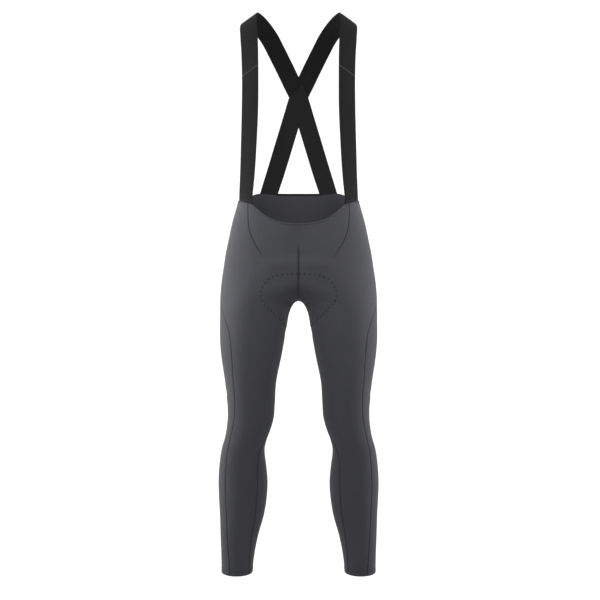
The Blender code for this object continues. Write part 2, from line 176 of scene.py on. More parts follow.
# How finely curves are read: points on a route and on a waist edge, rounds of two searches,
# and the step for a ring's slopes, in degrees and millimetres
ROUTE_SAMPLES = 600
WAIST_SAMPLES = 80
HALVINGS = 40
EDGE_ROUNDS = 20
RING_STEP = 0.25


def smooth(knots, values, at):
    """Reads a cubic curve through the knots, its slope at each the mean of the spans beside it."""
    slopes = np.diff(values) / np.diff(knots)
    tangents = np.concatenate([slopes[:1], (slopes[1:] + slopes[:-1]) / 2, slopes[-1:]])
    span = np.clip(np.searchsorted(knots, at) - 1, 0, len(knots) - 2)
    length = knots[span + 1] - knots[span]
    part = np.clip((at - knots[span]) / length, 0.0, 1.0)
    rest = 1.0 - part
    start = values[span] * rest * rest * (1 + 2 * part)
    end = values[span + 1] * part * part * (3 - 2 * part)
    bend = part * rest * length * (tangents[span] * rest - tangents[span + 1] * part)
    return start + end + bend


def read(table, at):
    """Reads the second column of a table by its first."""
    return smooth(table[:, 0], table[:, 1], at)


def unit(vectors):
    """Scales vectors to length one."""
    return vectors / np.linalg.norm(vectors, axis=-1, keepdims=True)


def lengths_along(points):
    """Sums the steps along a line, from nought at its first point."""
    return np.concatenate([[0.0], np.cumsum(np.linalg.norm(np.diff(points, axis=0), axis=1))])


def read_vectors(at, length, values):
    """Reads vectors at lengths along a line."""
    return np.stack([np.interp(at, length, values[:, i]) for i in range(3)], axis=-1)


def ring_columns(count, down):
    """Reads the first columns of the table of rings at given heights."""
    return (smooth(RINGS[:, 0], RINGS[:, i], down) for i in range(1, count + 1))


def ring(angle, down):
    """Gives the place across and in depth: an ellipse with a third harmonic that squares it."""
    outer, inner, front, back, square = ring_columns(5, down)
    turn = np.radians(angle)
    wide = (np.sin(turn) + square * np.sin(3 * turn)) / (1 - square)
    deep = (np.cos(turn) - square * np.cos(3 * turn)) / (1 - square)
    across = (outer + inner) / 2 + wide * (outer - inner) / 2
    depth = (front + back) / 2 - deep * (back - front) / 2
    return across, depth


def past_fillet(across):
    """Gives x: the root of across squared less the square of the fillet's radius."""
    return np.sqrt(np.maximum(across ** 2 - JOIN_RADIUS ** 2, 0.0))


def body_point(angle, down):
    """Gives the place on the cloth's face."""
    across, depth = ring(angle, down)
    x = past_fillet(across)
    return np.stack([x, depth, -down + 0 * x], axis=-1)


def body_normal(angle, down):
    """Gives the outward direction: the cross product of the slopes round the ring and down it."""
    across, _ = ring(angle, down)
    x = past_fillet(across)
    ahead, behind = ring(angle + RING_STEP, down), ring(angle - RING_STEP, down)
    below, above = ring(angle, down + RING_STEP), ring(angle, down - RING_STEP)
    across_round = (ahead[0] - behind[0]) / math.radians(2 * RING_STEP)
    depth_round = (ahead[1] - behind[1]) / math.radians(2 * RING_STEP)
    across_down = (below[0] - above[0]) / (2 * RING_STEP)
    depth_down = (below[1] - above[1]) / (2 * RING_STEP)
    tilt = across * (across_round * depth_down - depth_round * across_down)
    return unit(np.stack([x * depth_round, -across * across_round, -tilt], axis=-1))


def middle_angle(down):
    """Finds by halving the front angle at which the ring meets the middle plane."""
    low = np.full(np.shape(down), -90.0)
    high = np.full(np.shape(down), 30.0)
    for _ in range(HALVINGS):
        guess = (low + high) / 2
        past = ring(guess, down)[0] > JOIN_RADIUS
        high = np.where(past, guess, high)
        low = np.where(past, low, guess)
    return np.where(down >= CROTCH, -90.0, high)


def princess_angle(down):
    """Belly seam, which runs to a point on the middle plane at the crotch."""
    return np.maximum(read(PRINCESS_SEAM, down), middle_angle(down) + BELLY_POINT_WIDTH)


def front_inner_angle(down):
    """Inner edge of the front of the leg: belly seam above the crotch, inner leg seam below."""
    return np.where(down < CROTCH, princess_angle(down), read(INNER_SEAM, down))


def back_middle_angle(down):
    """Centre back."""
    return 180.0 - middle_angle(down)


def back_inner_angle(down):
    """Inner edge of the back of the leg: centre back above the crotch, inner leg seam below."""
    return np.where(down < CROTCH, back_middle_angle(down), 360.0 + read(INNER_SEAM, down))


def outer_angle(down):
    """Outer leg seam."""
    return read(OUTER_SEAM, down)


def binding_angle(down):
    """Start of the binding, under the inner edge of the back brace."""
    return np.full(np.shape(down), BINDING_START)


def edge_down(line, start, end, share):
    """Finds how far down an edge lies at each share of the way across a panel."""
    down = np.full(np.shape(share), line[:, 1].mean())
    for _ in range(EDGE_ROUNDS):
        angle = start(down) + (end(down) - start(down)) * share
        down = read(line, angle)
    return down


def yoke_side():
    """Height at which the yoke seam meets the outer leg seam."""
    return edge_down(YOKE_LINE, outer_angle, back_inner_angle, np.zeros(1))[0]


# Grid lines, as shares of a panel, drawn close together beside its edges. The yoke has no seam in
# its middle, so it leaves out those after its last share
SIDE_SHARES = np.array([0.0, 0.003, 0.008, 0.015, 0.024, 0.036])
TOP_SHARES = np.array([0.0, 0.006, 0.014, 0.024, 0.036, 0.05, 0.07, 0.1, 0.14])
HEM_SHARES = np.array([0.977, 0.981, 0.984, 0.986, 0.988, 0.991, 0.994, 0.9965, 0.998, 0.999, 1.0])
YOKE_LAST_SHARE = 0.97

# Numbers of grid rows and columns, the power by which a leg's rows spread, and the least share
# between them and the rows close to the hem
WAIST_ROWS = 14
SEAT_ROWS = 16
CROTCH_ROWS = 28
LEG_ROWS = 130
LEG_ROW_GROWTH = 1.3
LEAST_STEP = 0.002
YOKE_ROWS = 30
BELLY_COLUMNS = 26
FRONT_LEG_COLUMNS = 46
BACK_COLUMNS = 64
BINDING_GRID = (15, 49)
TAB_GRID = (14, 21)

# How much of its wall's cube the binding keeps at its edges
BINDING_RIM = 0.01

# How far above the crotch the belly panels' points are cut off, so that no edge is lost there
POINT_CUT = 0.002

# Soft folds in the tights: angle, down, half length, half width, height out of the cloth,
# and its slope in degrees from level
FOLDS = np.array([
    (180, 985, 46, 9, -2.2, 4),
    (186, 1003, 40, 8, 1.6, -6),
    (176, 1022, 42, 9, -1.9, -5),
    (150, 1040, 30, 8, -1.2, 22),
    (212, 1044, 28, 8, -1.2, -20),
    (195, 760, 40, 11, -2.0, 24),
    (170, 742, 46, 10, -1.5, 12),
    (206, 800, 34, 10, -1.2, 34),
    (262, 790, 30, 9, -1.3, 40),
    (75, 948, 22, 6, -1.3, 33),
    (88, 968, 24, 8, 0.9, 24),
    (180, 1330, 26, 8, -1.1, 6),
    (120, 1352, 22, 7, -0.9, -14),
    (70, 1393, 18, 6, -0.7, 30),
    (130, 640, 34, 12, -1.1, 30),
    (0, 524, 34, 26, 4.0, 0),
    (0, 572, 58, 20, -4.0, 90),
    (2, 629, 46, 15, 5.0, 0),
    (-2, 674, 40, 17, -2.6, 0),
])

# How far from a seam a panel dips and is pulled in, and within what distance of the middle plane
# its points keep theirs
SEAM_REACH = 2.6
PULL_REACH = 9.0
JOINED_WITHIN = 0.5

# How much painted shade a point gets from a seam's groove: this on a seam, cut off at one,
# less its distance over the reach
GROOVE_SHADE_MOST = 1.3
GROOVE_SHADE_REACH = 1.7

# Rolled top edge and turned-up hem: heights, widths, where the groove lies and how deep, and how
# far in the edge is rounded off
ROLL_HEIGHT = 0.55
ROLL_WIDTH = 3.0
ROLL_GROOVE = 0.45
ROLL_GROOVE_BEYOND = 0.7
HEM_HEIGHT = 0.3
HEM_WIDTH = 14.0
HEM_STEP = 1.2
HEM_GROOVE = 0.35
HEM_GROOVE_WITHIN = 1.5
GROOVE_WIDTH = 0.6
EDGE_ROUNDING = 0.5
ROLL_ROUNDED = 0.8
HEM_ROUNDED = 1.0

# Middle seam of the belly: where it begins, over what height, how many times as deep as the
# other seams it is, and how far it pulls the cloth in
MIDDLE_SEAM_FROM = 576.0
MIDDLE_SEAM_FADE = 30.0
MIDDLE_SEAM_DEPTH = 1.6
MIDDLE_PULL = 3.0

# Heights between which the belly seam gets flatter, and the share of its depth that is left
BELLY_SEAM_FADE = (580.0, 620.0)
BELLY_SEAM_LEAST = 0.08


def close_at_sides(count):
    """Shares across a panel: even in the middle and close together at both sides."""
    middle = np.linspace(SIDE_SHARES[-1], 1 - SIDE_SHARES[-1], count + 1)[1:-1]
    return np.concatenate([SIDE_SHARES, middle, 1 - SIDE_SHARES[::-1]])


def close_at_top(count):
    """Shares down a panel's upper part: close together at its top edge, then even."""
    return np.concatenate([TOP_SHARES, np.linspace(TOP_SHARES[-1], 1.0, count + 1)[1:]])


def rows_to_crotch(line, start, end, share, stop=None):
    """Heights of a panel's rows: even from its top edge to the seat, closing up to the crotch.
    From a stop on, if there is one, the rows are level."""
    top = edge_down(line, start, end, share)
    rows = []
    if stop is not None:
        rows.append(top + (stop - top) * close_at_top(WAIST_ROWS)[:-1, None])
        top = np.full(np.shape(share), stop)
        rows.append(top + (SEAT - top) * np.linspace(0.0, 1.0, SEAT_ROWS + 1)[:, None])
    else:
        rows.append(top + (SEAT - top) * close_at_top(SEAT_ROWS)[:, None])
    level = CROTCH - (CROTCH - SEAT) * np.linspace(1.0, 0.0, CROTCH_ROWS + 1)[1:, None] ** 2
    rows.append(np.repeat(level, len(share), axis=1))
    return np.concatenate(rows)


def rows_to_hem(start, end, share):
    """Heights of a leg's rows: a power of the row number down to the hem, which tilts with the
    cosine of the angle, faded in by the fourth power of the way down."""
    even = np.linspace(0.0, 1.0, LEG_ROWS + 1)[1:] ** LEG_ROW_GROWTH
    part = np.concatenate([even[even < HEM_SHARES[0] - LEAST_STEP], HEM_SHARES])[:, None]
    level = CROTCH + (HEM - CROTCH) * part
    angle = start(level) * (1 - share) + end(level) * share
    return level + HEM_TILT * np.cos(np.radians(angle)) * part ** 4


def fold_height(angle, down):
    """Sums the folds: each a Gaussian across its line, cut off by a Gaussian along it.

    Its two distances are the angle from its middle times the ring's mean radius, and the way
    down, both turned by its slope.
    """
    outer, inner, front, back = ring_columns(4, down)
    inner = np.where(down < CROTCH, -outer, inner)
    scale = np.radians(1.0) * (outer - inner + back - front) / 4
    height = np.zeros(np.shape(angle + down))
    for middle, level, length, width, rise, slope in FOLDS:
        aside = ((angle - middle + 180) % 360 - 180) * scale
        below = down - level
        tilt = np.radians(slope)
        along = aside * np.cos(tilt) + below * np.sin(tilt)
        across = below * np.cos(tilt) - aside * np.sin(tilt)
        height += rise * np.exp(-(across / width) ** 2 - (along / length) ** 2)
    return height


def cloth_place(angle, down):
    """Gives the place on the folded cloth and its outward direction."""
    normals = body_normal(angle, down)
    return body_point(angle, down) + normals * fold_height(angle, down)[..., None], normals


def panel(start, end, down, share):
    """Spreads a panel between two seams: the angle is a blend of theirs by the share across."""
    return cloth_place(start(down) * (1 - share) + end(down) * share, down)


def both_halves(points, normals):
    """Carries a left grid, which ends on the middle plane, across to the right."""
    whole = np.concatenate([points, points[:, -2::-1] * MIRROR], axis=1)
    directions = np.concatenate([normals, normals[:, -2::-1] * MIRROR], axis=1)
    return whole, directions


def edge_distance(points, side):
    """Distance of each point from a side: its offset from that side's point in its own row or
    column, less the part of it that runs along the side."""
    axis, at = {"top": (0, 0), "bottom": (0, -1), "start": (1, 0), "end": (1, -1)}[side]
    rim = np.take(points, [at], axis)
    along = unit(np.gradient(rim, axis=1 - axis))
    away = points - rim
    return np.linalg.norm(away - np.sum(away * along, axis=-1, keepdims=True) * along, axis=-1)


def seam_profile(distance, depth):
    """Dips towards a seam: minus the depth times the square of one less distance over reach."""
    return -depth * (1 - np.minimum(distance / SEAM_REACH, 1.0)) ** 2


def rounded_edge(distance, reach):
    """How much an edge is rounded off: the square of one less the distance over the reach."""
    return EDGE_ROUNDING * np.clip(1 - distance / reach, 0.0, 1.0) ** 2


def rolled_profile(distance):
    """Rolled top edge: a half sine bead, rounded off at the edge, and a Gaussian groove below."""
    bead = ROLL_HEIGHT * np.sin(np.pi * np.clip(distance / ROLL_WIDTH, 0.0, 1.0))
    beyond = distance - ROLL_WIDTH - ROLL_GROOVE_BEYOND
    groove = ROLL_GROOVE * np.exp(-(beyond / GROOVE_WIDTH) ** 2)
    return bead - groove - rounded_edge(distance, ROLL_ROUNDED)


def hem_profile(distance):
    """Turned-up hem: a low step that ends in the stitched groove, rounded off at its edge."""
    step = HEM_HEIGHT * np.clip((HEM_WIDTH - distance) / HEM_STEP, 0.0, 1.0)
    beyond = distance - HEM_WIDTH + HEM_GROOVE_WITHIN
    groove = HEM_GROOVE * np.exp(-(beyond / GROOVE_WIDTH) ** 2)
    return step - groove - rounded_edge(distance, HEM_ROUNDED)


def draw_back(points, normals, side):
    """Draws one side of a grid back by half the panels' gap, square to that side."""
    lines = {"top": (0, 1, 0), "bottom": (-1, -2, 0), "start": (0, 1, 1), "end": (-1, -2, 1)}
    edge, beside, axis = lines[side]
    rim, inner = np.take(points, edge, axis), np.take(points, beside, axis)
    inward = unit(np.cross(np.take(normals, edge, axis), np.gradient(rim, axis=0)))
    inward *= np.sign(np.sum(inward * (inner - rim), axis=-1, keepdims=True))
    moved = rim + inward * PANEL_GAP / 2
    if axis == 0:
        points[edge] = moved
    else:
        points[:, edge] = moved


def cloth_map(points):
    """Lays a grid flat: u is the length along each row from its middle, v the length down the
    middle column, both in metres."""
    across = np.linalg.norm(np.diff(points, axis=1), axis=-1)
    u = np.concatenate([np.zeros((len(points), 1)), np.cumsum(across, axis=1)], axis=1)
    middle = points.shape[1] // 2
    u = u - u[:, middle:middle + 1]
    v = lengths_along(points[:, middle])
    return np.stack([u, np.repeat(-v[:, None], points.shape[1], axis=1)], axis=-1) * MM


# Angle in degrees from which an edge of cloth is shaded sharp
SHARP_ANGLE = 50


def add_piece(name, mesh, material):
    """Puts a smooth mesh with its material into the scene."""
    mesh.shade_smooth()
    mesh.materials.append(material)
    piece = bpy.data.objects.new(name, mesh)
    bpy.context.scene.collection.objects.link(piece)
    return piece


def place_mesh(name, points, faces, flat, material):
    """Puts points, quads and their flat places into a mesh that faces outwards."""
    corners = points[faces]
    turned = np.cross(corners[:, 1] - corners[:, 0], corners[:, 2] - corners[:, 0])
    other = np.cross(corners[:, 2] - corners[:, 0], corners[:, 3] - corners[:, 0])
    if np.sum(corners[:, 0] * (turned + other)) < 0:
        faces = faces[:, ::-1]
    mesh = bpy.data.meshes.new(name)
    mesh.from_pydata((points * MM).tolist(), [], faces.tolist())
    layer = mesh.uv_layers.new(name="cloth")
    layer.data.foreach_set("uv", flat[faces.ravel()].astype(np.float32).ravel())
    piece = add_piece(name, mesh, material)
    mesh.set_sharp_from_angle(angle=math.radians(SHARP_ANGLE))
    return piece


def cloth_shell(name, outer, inner, material, sewn=None):
    """Makes a closed cloth shell from two grids, with a rim between their borders, and keeps
    how much painted shade each point gets from a seam's groove."""
    rows, columns = outer.shape[:2]
    number = np.arange(rows * columns).reshape(rows, columns)
    quads = np.stack([number[:-1, :-1], number[1:, :-1], number[1:, 1:], number[:-1, 1:]], axis=-1)
    quads = quads.reshape(-1, 4)
    far = rows * columns
    border = np.concatenate([number[0, :-1], number[:-1, -1], number[-1, :0:-1], number[:0:-1, 0]])
    following = np.roll(border, -1)
    rim = np.stack([border, following, following + far, border + far], axis=-1)
    faces = np.concatenate([quads, quads[:, ::-1] + far, rim])
    points = np.concatenate([outer.reshape(-1, 3), inner.reshape(-1, 3)])
    flat = cloth_map(outer).reshape(-1, 2)
    piece = place_mesh(name, points, faces, np.concatenate([flat, flat]), material)
    if sewn is not None:
        layer = piece.data.attributes.new("sewn", "FLOAT", "POINT")
        layer.data.foreach_set("value", np.concatenate([sewn, sewn]).astype(np.float32).ravel())
    return piece


def declare(piece, nodes):
    """Hangs a piece on the part's body and hides the part's nodes that it stands for."""
    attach(piece, "root")
    if nodes:
        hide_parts(*nodes)


def knit_panel(name, points, normals, seams, finish=(), pull=0.0):
    """Sews a left panel and its mirror image, whose edges dip into the seams."""
    outer, inner, sewn = knit_faces(points, normals, seams, finish, pull)
    for side, turn in SIDES:
        node = name + "_" + side
        piece = cloth_shell(node + "_cloth", outer * turn, inner * turn, knit_material(), sewn)
        declare(piece, [node])


def knit_faces(points, normals, seams, finish=(), pull=0.0):
    """Shapes a panel's two faces: its edges dip into the seams or carry a rolled edge or hem,
    and its first side is pulled in by the square of one less distance over reach, which fades
    out straight towards its other side.

    Points beside the middle plane keep their distance from it, so the two halves stay joined.
    Also gives how much painted shade each point gets from a seam's groove: one beside a seam as
    deep as the setting, less beside a shallower one, falling straight to nought.
    """
    settings = bpy.context.scene.tights
    rise = np.zeros(points.shape[:2])
    sewn = np.zeros(points.shape[:2])
    for side, depth in seams.items():
        draw_back(points, normals, side)
        distance = edge_distance(points, side)
        rise += seam_profile(distance, depth)
        # Painted shade of the groove, as strong as the groove is deep
        share = np.minimum(depth / (settings.seam_depth / MM), 1.0)
        sewn = np.maximum(sewn, share * np.clip(GROOVE_SHADE_MOST - distance / GROOVE_SHADE_REACH, 0.0, 1.0))
    if "rolled" in finish:
        rise += rolled_profile(edge_distance(points, "top"))
    if "hem" in finish:
        rise += hem_profile(edge_distance(points, "bottom"))
    drawn = pull * (1 - np.minimum(edge_distance(points, "start") / PULL_REACH, 1.0)) ** 2
    drawn *= np.minimum(edge_distance(points, "end") / PULL_REACH, 1.0)
    across = points[..., 0]
    points = points - normals * drawn[..., None]
    outer = points + normals * rise[..., None]
    outer[..., 0] = np.where(np.abs(across) < JOINED_WITHIN, across, outer[..., 0])
    inner = points - normals * settings.wall / MM
    return outer, inner, sewn


def ease(part):
    """Smooth step from nought to one."""
    part = np.clip(part, 0.0, 1.0)
    return part * part * (3 - 2 * part)


def belly_seam_share(down):
    """Share of the seam's depth: the belly seam lies flatter from the pad to the crotch."""
    fade = ease((down - BELLY_SEAM_FADE[0]) / (BELLY_SEAM_FADE[1] - BELLY_SEAM_FADE[0]))
    return np.where(down < CROTCH, 1 - (1 - BELLY_SEAM_LEAST) * fade, 1.0)


def make_belly():
    """Belly panels, from the scoop to a point at the crotch. Their middle seam fades in below
    the scoop by a smooth step of the height, and out in proportion to their width."""
    settings = bpy.context.scene.tights
    share = close_at_sides(BELLY_COLUMNS)
    edges = (middle_angle, princess_angle)
    down = rows_to_crotch(WAIST_LINE, *edges, share, yoke_side())
    down[-1] -= POINT_CUT
    points, normals = panel(*edges, down, share)
    width = np.linalg.norm(points[:, -1:] - points[:, :1], axis=-1)
    begun = ease((down[:, :1] - MIDDLE_SEAM_FROM) / MIDDLE_SEAM_FADE)
    begun *= np.minimum(width / SEAM_REACH / 2, 1.0)
    depth = settings.seam_depth / MM
    middle_depth = MIDDLE_SEAM_DEPTH * depth * begun
    seams = {"start": middle_depth, "end": depth * belly_seam_share(down[:, -1:])}
    pull = MIDDLE_PULL * begun
    knit_panel("front_centre", points, normals, seams, ("rolled",), pull)


def make_front_legs():
    """Front of hip and leg, from the top edge to the hem."""
    share = close_at_sides(FRONT_LEG_COLUMNS)
    edges = (front_inner_angle, outer_angle)
    above = rows_to_crotch(WAIST_LINE, *edges, share, yoke_side())
    down = np.concatenate([above, rows_to_hem(*edges, share)])
    points, normals = panel(*edges, down, share)
    depth = bpy.context.scene.tights.seam_depth / MM
    seams = {"start": depth * belly_seam_share(down[:, :1]), "end": depth}
    knit_panel("front_leg", points, normals, seams, ("rolled", "hem"))


def make_back_legs():
    """Seat and back of leg, which wraps to the outer and inner front below the knee."""
    share = close_at_sides(BACK_COLUMNS)
    edges = (outer_angle, back_inner_angle)
    above = rows_to_crotch(YOKE_LINE, *edges, share)
    down = np.concatenate([above, rows_to_hem(*edges, share)])
    points, normals = panel(*edges, down, share)
    depth = bpy.context.scene.tights.seam_depth / MM
    seams = {"top": depth, "start": depth, "end": depth}
    knit_panel("back_leg", points, normals, seams, ("hem",))


def make_yoke(binding):
    """Upper back panel, from outer seam to outer seam. Its binding argument is not used."""
    share = close_at_sides(BACK_COLUMNS)
    share = np.concatenate([share[share <= YOKE_LAST_SHARE], [1.0]])
    edges = (outer_angle, back_middle_angle)
    top = edge_down(WAIST_LINE, *edges, share)
    bottom = edge_down(YOKE_LINE, *edges, share)
    down = top + (bottom - top) * close_at_sides(YOKE_ROWS)[:, None]
    points, normals = both_halves(*panel(*edges, down, share))
    depth = bpy.context.scene.tights.seam_depth / MM
    seams = {"bottom": depth, "start": depth, "end": depth}
    outer, inner, sewn = knit_faces(points, normals, seams)
    piece = cloth_shell("back_yoke_cloth", outer, inner, knit_material(), sewn)
    declare(piece, ["back_yoke"])


def make_binding():
    """Narrow elastic folded over the top edge of the back. Its section is a rounded box: the
    wall at each height is the cube root of one less the sixth power of the height, plus a
    little that keeps its edges open."""
    rows, columns = BINDING_GRID
    share = np.linspace(0.0, 1.0, columns)
    edges = (binding_angle, back_middle_angle)
    line = edge_down(WAIST_LINE, *edges, share) + BINDING_LAP
    part = np.sin(np.linspace(-1.0, 1.0, rows) * np.pi / 2)[:, None]
    down = line - (BINDING_HEIGHT + BINDING_LAP) * (1 - part) / 2
    points, normals = both_halves(*panel(*edges, down, share))
    thick = BINDING_WALL / 2 * np.cbrt(1 + BINDING_RIM - part ** 6)
    middle = points - normals * bpy.context.scene.tights.wall / MM / 2
    piece = cloth_shell(
        "back_binding_strip", middle + normals * thick[..., None],
        middle - normals * thick[..., None], binding_material(),
    )
    declare(piece, ["back_binding"])
    return piece


# A brace's lengthwise lines, as shares of half its width
BRACE_LINES = np.array([
    -1.0, -0.985, -0.965, -0.94, -0.9, -0.82, -0.7, -0.55, -0.38, -0.2,
    0.0, 0.2, 0.38, 0.55, 0.7, 0.82, 0.9, 0.94, 0.965, 0.985, 1.0,
])

# Height of a brace's rows, and how far in and by what share of its wall each edge is thinned
BRACE_ROW = 3.0
BRACE_EDGE = 1.5
BRACE_EDGE_THINNING = 0.3


def route_frame(route):
    """Reads a brace's route: the length so far, the place, and the directions across and out.

    The direction across is made square to the way along by two cross products.
    """
    knots = lengths_along(route[:, :3])
    at = np.linspace(0.0, knots[-1], ROUTE_SAMPLES)
    columns = np.stack([smooth(knots, route[:, i], at) for i in range(route.shape[1])], axis=1)
    place = columns[:, :3] * np.array([1.0, 1.0, -1.0])
    length = lengths_along(place)
    along = unit(np.gradient(place, length, axis=0))
    outward = unit(np.cross(along, columns[:, 3:6]))
    return length, place, np.cross(outward, along), outward, columns[:, 6]


def on_route(route, at, share):
    """Gives places and outward directions on a brace at lengths and shares of half its width:
    the route's place, plus the share across, plus a parabola's crown."""
    length, place, across, outward, bulge = route_frame(route)
    normals = unit(read_vectors(at, length, outward))
    crown = np.interp(at, length, bulge) * (1 - share ** 2)
    sideways = read_vectors(at, length, across) * (share * BRACE_WIDTH / 2 + 0 * at)[..., None]
    return read_vectors(at, length, place) + sideways + normals * crown[..., None], normals


def length_where(route, test):
    """Length along a route at which each lengthwise line first passes a test of its place."""
    length, place, across, _, _ = route_frame(route)
    lines = place[:, None, :] + across[:, None, :] * (BRACE_LINES * BRACE_WIDTH / 2)[:, None]
    value = test(lines, BRACE_LINES)
    first = np.argmax(value > 0, axis=0)
    columns = np.arange(len(BRACE_LINES))
    before, after = value[first - 1, columns], value[first, columns]
    return length[first - 1] + (length[first] - length[first - 1]) * before / (before - after)


def waist_height(x, limits):
    """Height of the tights' top edge over a place across, between two ring angles."""
    angles = np.linspace(*limits, WAIST_SAMPLES)
    points = body_point(angles, read(WAIST_LINE, angles))
    order = np.argsort(points[:, 0])
    return np.interp(x, points[order, 0], points[order, 2])


def above_front_waist(lines, share):
    """How far places lie above the front top edge, clear of its gap."""
    return lines[..., 2] - waist_height(lines[..., 0], FRONT_WAIST_ANGLES) - WAIST_GAP


def below_back_waist(lines, share):
    """How far places lie below the back top edge, clear of its gap."""
    return waist_height(lines[..., 0], BACK_WAIST_ANGLES) + WAIST_GAP - lines[..., 2]


def above_chest_join(lines, share):
    """How far places lie above the slanting join at the chest."""
    middle = (CHEST_JOIN_OUTER + CHEST_JOIN_INNER) / 2
    return lines[..., 2] + middle + share * (CHEST_JOIN_OUTER - CHEST_JOIN_INNER) / -2


def past_middle(lines, share):
    """How far places lie past the middle plane, less a lap as wide as the panels' gap."""
    return -PANEL_GAP - lines[..., 0]


def past_other_brace(lines, share):
    """How far places on a left back brace lie past the edge of the right one, with a lap."""
    crossing = BACK_ROUTE[1]
    over = -crossing[3] * lines[..., 0] + crossing[5] * (lines[..., 2] + crossing[2])
    return over - BRACE_WIDTH / 2 + PANEL_GAP


def ribbon(name, route, starts, ends, kind, turn=1.0):
    """Carries a flat strip along a route. Its wall thins at both edges by the square of how near
    the edge is."""
    rows = round(float(np.max(ends - starts)) / BRACE_ROW)
    at = starts + (ends - starts) * np.linspace(0.0, 1.0, rows + 1)[:, None]
    outer, normals = on_route(route, at, BRACE_LINES)
    near = np.clip(1 - (1 - np.abs(BRACE_LINES)) * BRACE_WIDTH / 2 / BRACE_EDGE, 0.0, 1.0) ** 2
    wall = bpy.context.scene.braces.wall / MM
    thin = (near * BRACE_EDGE_THINNING * wall)[:, None]
    piece = cloth_shell(
        name + "_strip", (outer - normals * thin) * turn,
        (outer - normals * (wall - thin)) * turn, elastic_material(kind),
    )
    declare(piece, [name])


def make_front_braces():
    """Braces from the front waist to the chest join."""
    starts = length_where(BRACE_ROUTE, above_front_waist) - BRACE_LAP
    ends = length_where(BRACE_ROUTE, above_chest_join) - PANEL_GAP
    for side, turn in SIDES:
        ribbon("front_brace_" + side, BRACE_ROUTE, starts, ends, "front", turn)


def make_shoulder_braces():
    """Braces from the chest join over the shoulders, to meet at the crossing."""
    starts = length_where(BRACE_ROUTE, above_chest_join)
    ends = length_where(BRACE_ROUTE, past_middle)
    for side, turn in SIDES:
        ribbon("shoulder_brace_" + side, BRACE_ROUTE, starts, ends, "shoulder", turn)


def pointed_end():
    """Length along the back route at which each lengthwise line of the pointed end begins: the
    crossing's, less the reach past it, read straight between the edges and the middle."""
    crossing = np.linalg.norm(BACK_ROUTE[1, :3] - BACK_ROUTE[0, :3])
    return crossing - np.interp(BRACE_LINES, (-1, 0, 1), POINT_REACH)


def make_back_braces():
    """Braces from the crossing to the back waist. The right one has the pointed end."""
    ends = length_where(BACK_ROUTE, below_back_waist)
    starts = length_where(BACK_ROUTE, past_other_brace)
    ribbon("back_brace_left", BACK_ROUTE, starts, ends, "back")
    ribbon("back_brace_right", BACK_ROUTE, pointed_end(), ends, "back", MIRROR)


# Cloths: how much the painted shade of a seam's groove darkens the knit, the pitches of its ribs
# and rows and of the elastic's cords and picks in metres, and how far a rib sways the rows
SEAM_SHADE = 0.6
KNIT_RIB = 0.0013
KNIT_ROW = 0.0009
KNIT_SWAY = 1.4
ELASTIC_CORD = 0.0019
ELASTIC_PICK = 0.0009
SHEEN_ROUGHNESS = 0.45


def add_node(tree, kind, links=(), **settings):
    """Adds a node, sets its own settings, and sets or links its inputs."""
    made = tree.nodes.new(kind)
    for key, value in settings.items():
        setattr(made, key, value)
    for key, value in dict(links).items():
        if isinstance(value, bpy.types.NodeSocket):
            tree.links.new(value, made.inputs[key])
        else:
            made.inputs[key].default_value = value
    return made


def compute(tree, operation, first, second=0.0):
    """Adds one step of arithmetic."""
    return add_node(tree, "ShaderNodeMath", {0: first, 1: second}, operation=operation).outputs[0]


def begin_material(name, colour, roughness, gloss, sheen):
    """Starts a cloth material: colour, roughness, gloss and sheen on the shader's own sockets."""
    material = bpy.data.materials.new(name)
    material.use_nodes = True
    tree = material.node_tree
    shader = tree.nodes["Principled BSDF"]
    shader.inputs["Base Color"].default_value = (*colour, 1.0)
    shader.inputs["Roughness"].default_value = roughness
    shader.inputs["Specular IOR Level"].default_value = gloss
    shader.inputs["Sheen Weight"].default_value = sheen
    shader.inputs["Sheen Roughness"].default_value = SHEEN_ROUGHNESS
    material.diffuse_color = (*colour, 1.0)
    return material, tree, shader


def flat_place(tree):
    """Reads the piece's own flat map: u across and v along the cloth, in metres."""
    source = add_node(tree, "ShaderNodeUVMap", uv_map="cloth")
    parts = add_node(tree, "ShaderNodeSeparateXYZ", {0: source.outputs["UV"]})
    return parts.outputs[0], parts.outputs[1]


def stripes(tree, place, pitch, shift=0.0):
    """Sine waves of one pitch along a flat direction."""
    turns = compute(tree, "MULTIPLY", place, 2 * math.pi / pitch)
    moved = compute(tree, "ADD", turns, shift)
    return compute(tree, "SINE", moved)


def clouds(tree, scale, detail=2.0):
    """Noise in the piece's own space."""
    place = add_node(tree, "ShaderNodeTexCoord").outputs["Object"]
    noise = add_node(
        tree, "ShaderNodeTexNoise", {"Vector": place, "Scale": scale, "Detail": detail},
    )
    return noise.outputs["Fac"]


def blend(tree, amounts, total=0.0):
    """Adds weighted patterns to a total."""
    for pattern, weight in amounts:
        weighted = compute(tree, "MULTIPLY", pattern, weight)
        total = compute(tree, "ADD", weighted, total)
    return total


def vary(tree, colour, amounts, plain=1.0):
    """Lightens and darkens a colour by weighted patterns, each centred on a half."""
    centred = [(compute(tree, "SUBTRACT", pattern, 0.5), weight) for pattern, weight in amounts]
    scaled = {0: colour, "Scale": blend(tree, centred, plain)}
    return add_node(tree, "ShaderNodeVectorMath", scaled, operation="SCALE").outputs[0]


def finish_material(tree, shader, colour, height, distance, strength):
    """Joins the varied colour and the bump to the shader."""
    tree.links.new(colour, shader.inputs["Base Color"])
    bump = add_node(
        tree, "ShaderNodeBump", {"Height": height, "Distance": distance, "Strength": strength},
    )
    tree.links.new(bump.outputs["Normal"], shader.inputs["Normal"])


